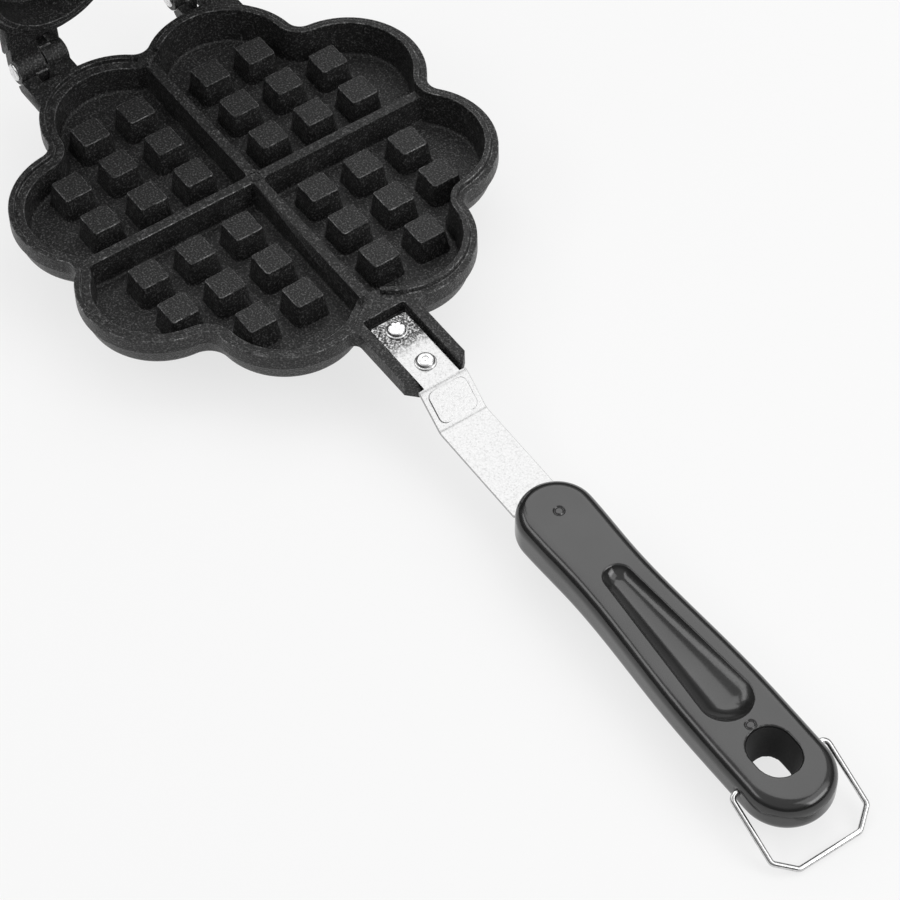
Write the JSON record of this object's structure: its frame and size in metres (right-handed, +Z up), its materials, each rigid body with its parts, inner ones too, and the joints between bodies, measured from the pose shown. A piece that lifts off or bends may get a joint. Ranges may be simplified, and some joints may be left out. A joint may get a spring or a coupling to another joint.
{
  "type": "stovetop waffle iron",
  "caption": "Stovetop waffle iron: two hinged cast plates with heart-shaped studded moulds, riveted steel straps, moulded handles and a wire bail that locks them.",
  "frame": {"origin": "middle of the lower casting's flat underside, which rests on the burner", "axes": "+X along the lower handle, away from the hinge; +Y along the hinge line; +Z up"},
  "size_m": [0.4726, 0.164, 0.433],
  "materials": {
    "cast_plate": "dark non-stick coating over a fine cast grain",
    "strap_steel": "bright plated sheet, lightly marked",
    "handle_plastic": "glossy moulded heat-resistant plastic",
    "rivet_aluminium": "bright, peened",
    "pin_steel": "plain bright steel",
    "bail_wire": "drawn bright wire"
  },
  "bodies": {
    "lower_iron": {"lower_plate": "cast_plate", "lower_strap": "strap_steel", "lower_handle": "handle_plastic", "lower_inner_rivet": "rivet_aluminium", "lower_outer_rivet": "rivet_aluminium", "left_hinge_pin": "pin_steel", "right_hinge_pin": "pin_steel"},
    "upper_iron": {"upper_plate": "cast_plate", "upper_strap": "strap_steel", "upper_handle": "handle_plastic", "upper_inner_rivet": "rivet_aluminium", "upper_outer_rivet": "rivet_aluminium"},
    "bail": {"wire_bail": "bail_wire"}
  },
  "joints": [
    {"name": "plate_hinge", "type": "hinge", "parent": "lower_iron", "child": "upper_iron", "pos_m": [-0.0922, 0, 0.015], "axis": [0, 1, 0], "range_deg": [0, 95]},
    {"name": "bail_pivot", "type": "hinge", "parent": "lower_iron", "child": "bail", "pos_m": [0.2945, 0, 0.00022], "axis": [0, -1, 0], "range_deg": [-133, 190]}
  ]
}
